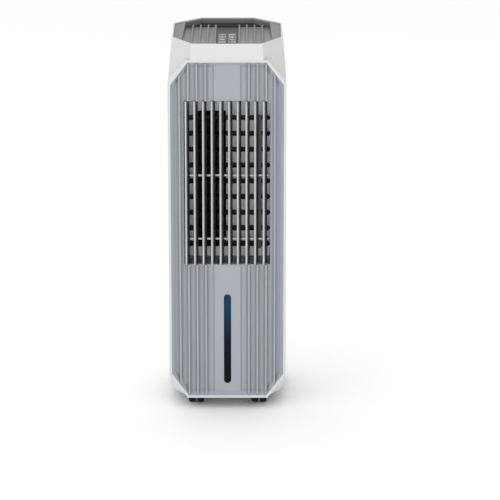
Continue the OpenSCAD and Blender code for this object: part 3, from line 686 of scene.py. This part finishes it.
dress(plastic("shellWhite"), "housing_shell", "rear_grille")
dress(plastic("panelGrey"), "front_panel")
dress(plastic("trayGrey"), "top_cover")
dress(plastic("deckDark"), "control_deck")
dress(plastic("keyDark"), *keys)
dress(plastic("vaneLight"), *vanes)
dress(plastic("ductLight"), "outlet_duct", "vane_links")
louverBlack = plastic("louverBlack")
dress(louverBlack, "blower_housing", "pump", *louvers)
dress(plastic("linkGrey"), "louver_link")
dress(plastic("casterBlack"), "cord_gland", *forks)
dress(plastic("innerGrey"), "base_chassis", "water_distributor", "riser_pipe")
dress(plastic("tankBlue"), "water_tank")
dress(plastic("plugRubber"), "drain_plug")
dress(plastic("floatRed"), "float")
dress(plastic("circuitGreen"), "control_board")
dress(plainSteel(), "swing_motor", "blower_motor", "cabinet_screws")

for node in ("housing_shell", "front_panel", "top_cover", "rear_grille", "water_tank", "control_deck"):
    softenEdges(node, bevelSet["width"])
for node in keys:
    softenEdges(node, bevelSet["keyWidth"])
for node in louvers + ["louver_link"]:
    softenEdges(node, bevelSet["louverWidth"])
print("nodes dressed")


# Level window: rings of a slot outline grow from its middle line by a share s, while the front
# falls back by crown * s squared
def makeWindow():
    lowest, highest = cornersOf("level_window")
    radius = (highest[0] - lowest[0]) / 2
    middle = (highest[0] + lowest[0]) / 2
    top, bottom = highest[2] - radius, lowest[2] + radius
    turn = np.linspace(0, np.pi, windowSet["arc"])
    climb = np.linspace(bottom, top, windowSet["straight"])[1:-1]
    still = np.ones_like(climb)
    core = np.concatenate([turn * 0 + top, climb[::-1], turn * 0 + bottom, climb])
    out = np.concatenate([np.cos(turn), -still, -np.cos(turn), still])
    rise = np.concatenate([np.sin(turn), still * 0, -np.sin(turn), still * 0])
    share = np.array([0, 0.25, 0.5, 0.7, 0.85, 0.95, 0.985, 1.0, 1.0, 0.97, 0])
    depth = lowest[1] + windowSet["crown"] * share ** 2
    depth[6:] = [depth[6] + 0.15 * mm, depth[6] + 0.5 * mm, highest[1] - 0.4 * mm, highest[1], highest[1]]
    grid = np.stack([middle + radius * share[:, None] * out,
                     np.broadcast_to(depth[:, None], (len(share), len(out))),
                     core + radius * share[:, None] * rise], axis=-1)
    addPiece("levelLens", [closedForm(grid, False, True)], paintedLightWindow(lowest[2], highest[2]),
             "cabinet", ["level_window"])


makeWindow()


wheelSet = {
    "width": 15 * mm,
    "side": 0.4 * mm,     # between a wheel's face and the end of the node
    "axle": 2.5 * mm,
    "corner": 4.2 * mm,   # rounding of the tread corners
    "crown": 0.5 * mm,    # how much the tread falls from its middle to the corners
    "dish": 2.4 * mm,     # depth of the outer dish
    "spokes": 5,
    "spokeRise": 0.9 * mm,
    "steps": 72,
}


# Half profile of a wheel from the inner face round the crowned tread to the dished outer face,
# as pairs of distance along the axle and radius
def wheelProfile(width, radius):
    corner = wheelSet["corner"]
    arc = np.linspace(0, np.pi / 2, 7)
    inner = np.stack([corner - corner * np.cos(arc), radius - corner + corner * np.sin(arc)], axis=1)
    outer = np.stack([width - corner + corner * np.sin(arc), radius - corner + corner * np.cos(arc)], axis=1)
    across = np.linspace(corner, width - corner, 7)[1:-1]
    fall = wheelSet["crown"] * ((across - width / 2) / (width / 2)) ** 2
    tread = np.stack([across, radius - fall], axis=1)
    dish = wheelSet["dish"]
    cover = np.array([(width, 0.66 * radius), (width - 0.25 * dish, 0.60 * radius),
                      (width - dish, 0.55 * radius), (width - dish, 0.42 * radius),
                      (width - 0.9 * dish, 0.30 * radius), (width - 0.3 * dish, 0.25 * radius),
                      (width, 0.20 * radius), (width + 0.3 * mm, 0.1 * radius), (width + 0.4 * mm, 0)])
    start = np.array([(0, 0), (0, 0.3 * radius), (0, 0.6 * radius)])
    return np.concatenate([start, inner, tread, outer, cover])


# Twin wheels of one caster: each profile is spun about the axle, and in the dish the face rises
# by spokeRise * the positive part of cos(spokes * angle)
def makeWheels(node):
    lowest, highest = cornersOf(node)
    middle, reach = (lowest + highest) / 2, (highest - lowest) / 2
    radius, width = reach[2], wheelSet["width"]
    profile = wheelProfile(width, radius)
    turn = np.linspace(0, 2 * np.pi, wheelSet["steps"], endpoint=False)
    place, height = profile.T
    inDish = (place < width - 0.5 * wheelSet["dish"]) & (height < 0.58 * radius) & (place > 0)
    lift = np.outer(inDish, np.maximum(np.cos(wheelSet["spokes"] * turn), 0)) * wheelSet["spokeRise"]
    forms = []
    for side in (-1, 1):
        along = reach[0] - width - wheelSet["side"] + profile[:, :1] + lift
        grid = np.stack([middle[0] + side * along, middle[1] + profile[:, 1:] * np.cos(turn),
                         middle[2] + profile[:, 1:] * np.sin(turn)], axis=-1)
        forms.append(closedForm(grid, False, True))
    ends = np.array([-1, -1, 1, 1]) * (reach[0] - width)
    radii = np.array([0, 1, 1, 0]) * wheelSet["axle"]
    axle = np.stack([np.broadcast_to(middle[0] + ends[:, None], (4, len(turn))),
                     middle[1] + radii[:, None] * np.cos(turn),
                     middle[2] + radii[:, None] * np.sin(turn)], axis=-1)
    forms.append(closedForm(axle, False, True))
    return forms


wheelBlack = plastic("wheelBlack")
for node in wheels:
    addPiece(node.replace("caster_wheels", "twinWheels"), makeWheels(node), wheelBlack, node,
             [node])
print("window and wheels made")


markSet = {
    "tilt": math.atan2(13.4, 248.5),  # fall of the ramp that carries the keys
    "stroke": 0.75 * mm,              # half width of a line
    "scale": 1.3,                     # size of a mark over the drawn lines
    "height": 0.22 * mm,
    "root": 0.3 * mm,                 # how far a line goes into its key
    "dash": (7.2, 7, 0.9),            # place and half length of the four corner dashes, in mm
    "color": (0.74, 0.75, 0.76),
}


# Line of a mark: an arc of an ellipse from one angle to another, in mm
def arcLine(x, y, width, height, start, end):
    turn = np.radians(np.linspace(start, end, 33))
    return np.stack([x + width * np.cos(turn), y + height * np.sin(turn)], axis=1)


# Straight line of a mark, in mm
def barLine(x0, y0, x1, y1):
    return np.stack([np.linspace(x0, x1, 5), np.linspace(y0, y1, 5)], axis=1)


# Sine line of a mark, in mm
def waveLine(y):
    x = np.linspace(-4.5, 4.5, 29)
    return np.stack([x, y + 1.2 * np.sin(x * 1.4)], axis=1)


# Drop: the width is sin(t) * sin(t / 2) ^ 1.5 and the height cos(t)
def dropLine():
    t = np.linspace(0.12, 2 * np.pi - 0.12, 41)
    return np.stack([4.2 * np.sin(t) * np.sin(t / 2) ** 1.5, 6.5 * np.cos(t)], axis=1)


marks = [
    [arcLine(0, 0, 4.6, 5.5, 118, 422), barLine(0, 1.5, 0, 7.5)],
    [barLine(-4, -5, -4, -1), barLine(0, -5, 0, 2.5), barLine(4, -5, 4, 6)],
    [waveLine(-4), waveLine(0), waveLine(4)],
    [dropLine()],
    [arcLine(0, 0, 4.8, 5.8, 0, 360), barLine(0, 0, 0, 3.6), barLine(0, 0, 2.6, 0)],
    [arcLine(0, 0, 4.6, 5.8, 50, 310), arcLine(2.6, 0, 3.0, 4.6, 100, 260)],
    [barLine(-4.5, 0, 4.5, 0), barLine(0, -5.5, 0, 5.5)],
    [arcLine(0, 1, 3.4, 5.2, 0, 180), barLine(-4.6, 1, 4.6, 1), barLine(-4.6, -5, 4.6, -5),
     barLine(-4.6, -5, -4.6, 1), barLine(4.6, -5, 4.6, 1)],
]


# Raised mark on a key: each line is swept with a low rounded section on the tilted top of the key
def makeMark(node, lines):
    lowest, highest = cornersOf(node)
    tilt = markSet["tilt"]
    back = np.array([0, math.cos(tilt), -math.sin(tilt)])
    up = np.array([0, math.sin(tilt), math.cos(tilt)])
    side = np.array([1.0, 0, 0])
    halfLength = (highest[1] - lowest[1]) / 2
    origin = np.array([(lowest[0] + highest[0]) / 2, (lowest[1] + highest[1]) / 2,
                       highest[2] - halfLength * math.tan(tilt)])
    w, h, root = markSet["stroke"], markSet["height"], markSet["root"]
    section = np.array([(-w, -root), (w, -root), (w, 0.5 * h), (0.6 * w, h), (-0.6 * w, h), (-w, 0.5 * h)])
    x, y, half = markSet["dash"]
    dashes = [barLine(s * x - half, t * y, s * x + half, t * y) for s in (-1, 1) for t in (-1, 1)]
    forms = []
    for line in [line * markSet["scale"] for line in lines] + dashes:
        run = np.gradient(line, axis=0)
        run /= np.linalg.norm(run, axis=1, keepdims=True)
        path = origin + (line[:, :1] * side + line[:, 1:] * back) * mm
        across = run[:, 1:] * side - run[:, :1] * back
        forms.append(swept(path, across, np.broadcast_to(up, path.shape), section))
    return forms


# Light paint of the marks, with a fine grain
def legendPaint():
    mat, tree, skin = newMaterial("legendWhite")
    grain = placeGroup(tree, mouldGrain, Color=markSet["color"] + (1,), Roughness=0.4, Grain_Scale=1500,
                       Mottle=0.05)
    wire(tree, grain, "Color", skin, "Base Color")
    wire(tree, grain, "Roughness", skin, "Roughness")
    return mat


legendWhite = legendPaint()
for node, lines in zip(keys, marks):
    addPiece(node.replace("key", "keyMark"), makeMark(node, lines), legendWhite, node)
print("key marks made")


rotorSet = {
    "blades": 32,
    "inner": 31.5 * mm,
    "outer": 41.3 * mm,
    "camber": 1.9 * mm,
    "thick": 0.7 * mm,
    "twist": 7,          # degrees from the bottom of the rotor to its top
    "stagger": 5 * mm,   # how far a blade's outer edge leads its inner edge
    "discs": 5,
    "disc": 41.9 * mm,
    "hole": 30 * mm,     # of the discs between the ends
    "rim": 3 * mm,
    "round": 1.5 * mm,
    "shaft": 4 * mm,
    "low": 370 * mm,
    "high": 687 * mm,
}


# Blade section: chord from the inner to the outer radius, bowed by camber * sin(pi * share) and
# slanted by the stagger, with a half thickness of thick * the root of sin(pi * share)
def bladeSection():
    share = np.linspace(0, 1, 9)
    along = rotorSet["inner"] + share * (rotorSet["outer"] - rotorSet["inner"])
    bow = rotorSet["camber"] * np.sin(np.pi * share) + (share - 0.5) * rotorSet["stagger"]
    half = rotorSet["thick"] * np.sqrt(np.sin(np.pi * share).clip(0))
    back = np.stack([along, bow - half], axis=1)[::-1][1:-1]
    return np.concatenate([np.stack([along, bow + half], axis=1), back])


# Cross-flow rotor: twisted blades between discs with rounded rims, on the motor's shaft
def makeRotor():
    lowest, highest = cornersOf("blower_wheel")
    centre = (lowest[:2] + highest[:2]) / 2
    section = bladeSection()
    height = np.linspace(rotorSet["low"] + 1 * mm, rotorSet["high"] - 1 * mm, 13)
    forms = []
    for blade in range(rotorSet["blades"]):
        turn = 2 * np.pi * blade / rotorSet["blades"] + np.radians(rotorSet["twist"]) * np.linspace(0, 1, 13)
        x = np.cos(turn)[:, None] * section[:, 0] - np.sin(turn)[:, None] * section[:, 1]
        y = np.sin(turn)[:, None] * section[:, 0] + np.cos(turn)[:, None] * section[:, 1]
        grid = np.stack([centre[0] + x, centre[1] + y, np.broadcast_to(height[:, None], x.shape)], axis=-1)
        forms.append(closedForm(capped(grid), False, True))
    rim, rimRound, shaft = rotorSet["rim"], rotorSet["round"], rotorSet["shaft"]
    arc = np.linspace(-np.pi / 2, np.pi / 2, 7)
    for k, z in enumerate(np.linspace(rotorSet["low"], rotorSet["high"] - rim, rotorSet["discs"])):
        ring = 0 < k < rotorSet["discs"] - 1
        hole = rotorSet["hole"] if ring else 0
        radius = np.concatenate([[hole], rotorSet["disc"] - rimRound + rimRound * np.cos(arc), [hole]])
        level = np.concatenate([[0], rim / 2 + rim / 2 * np.sin(arc), [rim]]) + z
        forms.append(spun(radius, level, centre, 64, ring))
    for z0, z1 in ((lowest[2], rotorSet["low"] + 1 * mm), (rotorSet["high"] - 1 * mm, highest[2])):
        radius = np.array([0, 0.85, 1, 1, 0.85, 0]) * shaft
        level = np.array([z0, z0, z0 + 0.6 * mm, z1 - 0.6 * mm, z1, z1])
        forms.append(spun(radius, level, centre, 32))
    return forms


addPiece("crossFlowRotor", makeRotor(), louverBlack, "blower_wheel", ["blower_wheel"])


padSet = {"pleat": 8 * mm, "wave": 1.7 * mm, "lean": 0.45, "columns": 155, "rows": 170}


# Wet pad: each face is sunk by wave * (0.5 + 0.5 * sin(x + lean * z)), and the lean is the other way
# on the back, so that the flutes cross as in stacked corrugated paper
def makePad():
    lowest, highest = cornersOf("cooling_pad")
    x = np.linspace(lowest[0], highest[0], padSet["columns"])
    z = np.linspace(lowest[2], highest[2], padSet["rows"])
    step = 2 * np.pi / padSet["pleat"]
    sides = []
    for sign, edge in ((1, lowest[1]), (-1, highest[1])):
        flute = np.sin(step * (x[None] + sign * padSet["lean"] * z[:, None]))
        inward = padSet["wave"] * (0.5 + 0.5 * flute)
        sides.append(np.stack([np.broadcast_to(x, inward.shape), edge + sign * inward,
                               np.broadcast_to(z[:, None], inward.shape)], axis=-1))
    grid = np.concatenate([sides[0], sides[1][:, ::-1]], axis=1)
    return [closedForm(capped(grid), False, True)]


addPiece("corrugatedPad", makePad(), cloth("padPaper"), "cabinet", ["cooling_pad"])


filterSet = {
    "pleat": 5.2 * mm,
    "depth": 1.0 * mm,
    "sheet": 0.6 * mm,     # thickness of the pleated sheet
    "border": 4.0 * mm,
    "bend": 5 * mm,        # corner radius of the frame
    "bars": 5,
    "barWidth": 2.8 * mm,
}


# Dust filter: a pleated sheet of even thickness, depth * a triangle wave of z, in a rounded frame
# with cross bars
def makeFilter():
    lowest, highest = cornersOf("dust_filter")
    middle = (lowest + highest) / 2
    border = filterSet["border"]
    count = int(round((highest[2] - lowest[2] - 2 * border) / filterSet["pleat"]))
    z = np.linspace(lowest[2] + border, highest[2] - border, 4 * count + 1)
    phase = np.arange(len(z)) * np.pi / 2
    x = np.linspace(lowest[0] + border, highest[0] - border, 9)
    fold = filterSet["depth"] * np.sin(phase)[:, None] + 0 * x
    sides = [np.stack([np.broadcast_to(x, fold.shape), middle[1] + fold + share * filterSet["sheet"],
                       np.broadcast_to(z[:, None], fold.shape)], axis=-1) for share in (-0.5, 0.5)]
    forms = [closedForm(capped(np.concatenate([sides[0], sides[1][:, ::-1]], axis=1)), False, True)]
    section = roundedSection(border / 2, (highest[1] - lowest[1]) / 2, 0.8 * mm)
    halfX, halfZ = (highest[0] - lowest[0] - border) / 2, (highest[2] - lowest[2] - border) / 2
    turn = np.linspace(0, 2 * np.pi, 4 * 6, endpoint=False) + np.pi / 24
    bend = filterSet["bend"]
    corner = np.stack([np.sign(np.cos(turn)) * (halfX - bend) + bend * np.cos(turn),
                       np.sign(np.sin(turn)) * (halfZ - bend) + bend * np.sin(turn)], axis=1)
    path = middle + np.stack([corner[:, 0], 0 * turn, corner[:, 1]], axis=1)
    across = np.stack([np.cos(turn), 0 * turn, np.sin(turn)], axis=1)
    inward = np.broadcast_to([0.0, 1.0, 0.0], path.shape)
    forms.append(swept(path, across, inward, section, closed=True))
    bar = roundedSection(filterSet["barWidth"] / 2, (highest[1] - lowest[1]) / 2 - 0.2 * mm, 0.6 * mm)
    for level in np.linspace(-halfZ, halfZ, filterSet["bars"] + 2)[1:-1]:
        run = middle + np.array([[-halfX, 0, level], [halfX, 0, level]])
        forms.append(swept(run, np.tile([0.0, 0, 1], (2, 1)), np.tile([0.0, 1, 0], (2, 1)), bar))
    return forms


addPiece("pleatedFilter", makeFilter(), cloth("filterMesh"), "rear_grille", ["dust_filter"])
print("rotor, pad and filter made")
